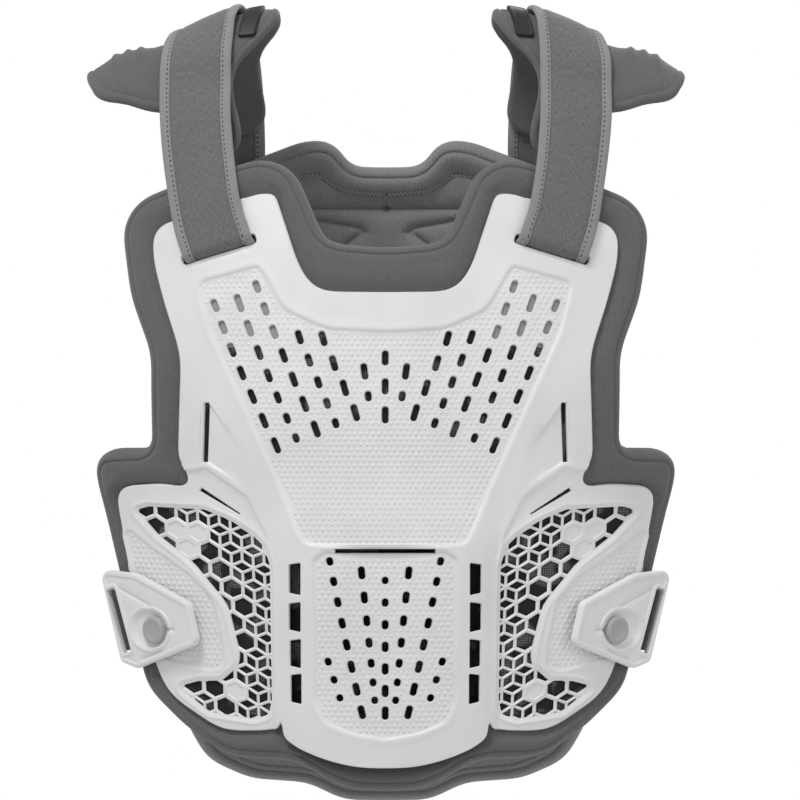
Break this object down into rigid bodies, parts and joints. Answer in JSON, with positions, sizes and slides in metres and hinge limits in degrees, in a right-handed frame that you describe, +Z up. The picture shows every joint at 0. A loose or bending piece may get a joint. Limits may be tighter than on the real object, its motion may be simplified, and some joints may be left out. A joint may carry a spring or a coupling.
{
  "type": "motocross chest protector",
  "caption": "Hard-shell chest and back protector on foam pads, with padded shoulder straps, shoulder caps and side buckles on a waist strap.",
  "frame": {"origin": "between the two shoulders, level with the seat of the shoulder pads, in the plane of the shoulder line", "axes": "+Z up, the chest faces -Y, and the wearer's left side is +X"},
  "size_m": [0.4518, 0.2475, 0.6107],
  "materials": {
    "shell": "moulded white plastic, satin",
    "vent_mesh": "black spacer mesh",
    "pad": "grey knit over moulded foam",
    "badge": "plain dark rubber",
    "strap": "grey brushed cloth with bound edges",
    "knob": "light grey moulded plastic",
    "webbing": "grey woven elastic webbing"
  },
  "bodies": {
    "root": {"front_shell": "shell", "back_shell": "shell", "vent_mesh": "vent_mesh", "front_pad": "pad", "back_pad": "pad", "shoulder_pad_left": "pad", "shoulder_pad_right": "pad", "shoulder_badge_left": "badge", "shoulder_badge_right": "badge", "shoulder_strap_left": "strap", "shoulder_strap_right": "strap", "side_buckle_left": "shell", "side_buckle_right": "shell", "buckle_knob_left": "knob", "buckle_knob_right": "knob", "waist_strap_left": "webbing", "waist_strap_right": "webbing"}
  },
  "joints": []
}
